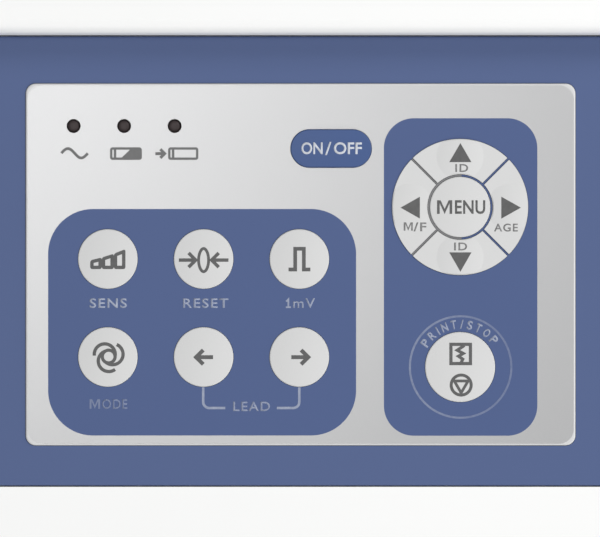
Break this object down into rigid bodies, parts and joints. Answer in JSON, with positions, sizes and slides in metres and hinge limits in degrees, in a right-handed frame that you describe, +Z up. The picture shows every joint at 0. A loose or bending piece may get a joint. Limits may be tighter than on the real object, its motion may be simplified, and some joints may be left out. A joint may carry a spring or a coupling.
{
  "type": "ecg machine",
  "caption": "Portable electrocardiograph: white casing, blue deck with a silver membrane keypad, hinged thermal paper recorder and a sloping display hood.",
  "frame": {"origin": "middle of the footprint on the table under the feet", "axes": "+X to the operator's right, +Y to the rear, +Z up"},
  "size_m": [0.3, 0.206, 0.0785],
  "materials": {
    "casing_white": "fine spark texture",
    "casing_blue": "satin",
    "overlay_silver": "satin silver print",
    "key_grey": "satin",
    "key_blue": "satin",
    "screw_steel": "zinc plated",
    "foot_rubber": "matt",
    "membrane_film": "clear film",
    "board_green": "solder mask",
    "spring_steel": "bright",
    "led_dark": "unlit diffuser",
    "window_smoke": "smoked acrylic",
    "chassis_steel": "galvanised sheet",
    "platen_rubber": "ground",
    "gear_nylon": "moulded nylon",
    "motor_steel": "drawn can",
    "head_ceramic": "glazed",
    "sink_aluminium": "milled",
    "paper": "thermal paper",
    "card": "wound card",
    "lens_glass": "hard-coated acrylic",
    "display_glass": "blank display",
    "speaker_black": "coated paper cone",
    "component_black": "moulded",
    "battery_wrap": "shrink wrap",
    "panel_grey": "moulded",
    "inlet_black": "moulded",
    "contact_brass": "plated",
    "socket_nickel": "nickel plated",
    "socket_blue": "moulded"
  },
  "bodies": {
    "casing": {"lower_case": "casing_white", "upper_case": "casing_white", "display_hood": "casing_white", "battery_door": "casing_white", "case_screws": "screw_steel", "short_screws": "screw_steel", "rubber_feet": "foot_rubber", "fascia": "casing_blue", "keypad_overlay": "overlay_silver", "keypad_spacer": "membrane_film", "keypad_board": "board_green", "snap_domes": "spring_steel", "indicator_leds": "led_dark", "release_spring": "spring_steel", "hinge_pins": "screw_steel", "recorder_chassis": "chassis_steel", "motor_body": "motor_steel", "thermal_head": "head_ceramic", "head_heat_sink": "sink_aluminium", "head_springs": "spring_steel", "tear_bar": "screw_steel", "paper_strip": "paper", "display_lens": "lens_glass", "display_module": "display_glass", "speaker": "speaker_black", "main_board": "board_green", "main_chips": "component_black", "power_board": "board_green", "power_parts": "component_black", "battery_pack": "battery_wrap", "rear_panel": "panel_grey", "mains_inlet": "inlet_black", "inlet_pins": "contact_brass", "earth_stud": "contact_brass", "patient_socket": "socket_nickel", "socket_insert": "socket_blue"},
    "recorder_door": {"recorder_door": "casing_blue", "door_window": "window_smoke"},
    "platen": {"platen_shaft": "screw_steel", "platen_rubber": "platen_rubber", "platen_gear": "gear_nylon"},
    "idler": {"idler_gear": "gear_nylon"},
    "motor_rotor": {"motor_pinion": "contact_brass"},
    "paper_supply": {"paper_roll": "paper", "paper_core": "card", "paper_spindle": "gear_nylon"},
    "release_button": {"release_button": "key_grey"},
    "key_sensitivity": {"key_sensitivity": "key_grey"},
    "key_reset": {"key_reset": "key_grey"},
    "key_calibrate": {"key_calibrate": "key_grey"},
    "key_mode": {"key_mode": "key_grey"},
    "key_lead_back": {"key_lead_back": "key_grey"},
    "key_lead_next": {"key_lead_next": "key_grey"},
    "key_up": {"key_up": "key_grey"},
    "key_left": {"key_left": "key_grey"},
    "key_down": {"key_down": "key_grey"},
    "key_right": {"key_right": "key_grey"},
    "key_menu": {"key_menu": "key_grey"},
    "key_print": {"key_print": "key_grey"},
    "key_power": {"key_power": "key_blue"}
  },
  "joints": [
    {"name": "key_sensitivity_press", "type": "slide", "parent": "casing", "child": "key_sensitivity", "axis": [0, 0, -1], "range_m": [0, 0.0004], "stiffness_N_per_m": 1500, "deforming": ["snap_domes"]},
    {"name": "key_reset_press", "type": "slide", "parent": "casing", "child": "key_reset", "axis": [0, 0, -1], "range_m": [0, 0.0004], "stiffness_N_per_m": 1500, "deforming": ["snap_domes"]},
    {"name": "key_calibrate_press", "type": "slide", "parent": "casing", "child": "key_calibrate", "axis": [0, 0, -1], "range_m": [0, 0.0004], "stiffness_N_per_m": 1500, "deforming": ["snap_domes"]},
    {"name": "key_mode_press", "type": "slide", "parent": "casing", "child": "key_mode", "axis": [0, 0, -1], "range_m": [0, 0.0004], "stiffness_N_per_m": 1500, "deforming": ["snap_domes"]},
    {"name": "key_lead_back_press", "type": "slide", "parent": "casing", "child": "key_lead_back", "axis": [0, 0, -1], "range_m": [0, 0.0004], "stiffness_N_per_m": 1500, "deforming": ["snap_domes"]},
    {"name": "key_lead_next_press", "type": "slide", "parent": "casing", "child": "key_lead_next", "axis": [0, 0, -1], "range_m": [0, 0.0004], "stiffness_N_per_m": 1500, "deforming": ["snap_domes"]},
    {"name": "key_up_press", "type": "slide", "parent": "casing", "child": "key_up", "axis": [0, 0, -1], "range_m": [0, 0.0004], "stiffness_N_per_m": 1500, "deforming": ["snap_domes"]},
    {"name": "key_left_press", "type": "slide", "parent": "casing", "child": "key_left", "axis": [0, 0, -1], "range_m": [0, 0.0004], "stiffness_N_per_m": 1500, "deforming": ["snap_domes"]},
    {"name": "key_down_press", "type": "slide", "parent": "casing", "child": "key_down", "axis": [0, 0, -1], "range_m": [0, 0.0004], "stiffness_N_per_m": 1500, "deforming": ["snap_domes"]},
    {"name": "key_right_press", "type": "slide", "parent": "casing", "child": "key_right", "axis": [0, 0, -1], "range_m": [0, 0.0004], "stiffness_N_per_m": 1500, "deforming": ["snap_domes"]},
    {"name": "key_menu_press", "type": "slide", "parent": "casing", "child": "key_menu", "axis": [0, 0, -1], "range_m": [0, 0.0004], "stiffness_N_per_m": 1500, "deforming": ["snap_domes"]},
    {"name": "key_print_press", "type": "slide", "parent": "casing", "child": "key_print", "axis": [0, 0, -1], "range_m": [0, 0.0004], "stiffness_N_per_m": 1500, "deforming": ["snap_domes"]},
    {"name": "key_power_press", "type": "slide", "parent": "casing", "child": "key_power", "axis": [0, 0, -1], "range_m": [0, 0.0004], "stiffness_N_per_m": 1500, "deforming": ["snap_domes"]},
    {"name": "door_hinge", "type": "hinge", "parent": "casing", "child": "recorder_door", "pos_m": [-0.07, 0.003, 0.055], "axis": [-1, 0, 0], "range_deg": [0, 90]},
    {"name": "platen_spin", "type": "hinge", "parent": "recorder_door", "child": "platen", "pos_m": [-0.07, -0.064, 0.047], "axis": [1, 0, 0], "continuous": true},
    {"name": "idler_spin", "type": "hinge", "parent": "casing", "child": "idler", "pos_m": [-0.022, -0.064, 0.032], "axis": [1, 0, 0], "continuous": true},
    {"name": "motor_spin", "type": "hinge", "parent": "casing", "child": "motor_rotor", "pos_m": [-0.022, -0.064, 0.0188], "axis": [1, 0, 0], "continuous": true},
    {"name": "paper_roll_spin", "type": "hinge", "parent": "casing", "child": "paper_supply", "pos_m": [-0.07, -0.027, 0.031], "axis": [1, 0, 0], "continuous": true},
    {"name": "release_press", "type": "slide", "parent": "casing", "child": "release_button", "axis": [0, 0, -1], "range_m": [0, 0.002], "stiffness_N_per_m": 600, "deforming": ["release_spring"]}
  ],
  "couplings": [
    {"joint": "idler_spin", "follows": "platen_spin", "ratio": -0.92308},
    {"joint": "motor_spin", "follows": "platen_spin", "ratio": 1.3333}
  ]
}
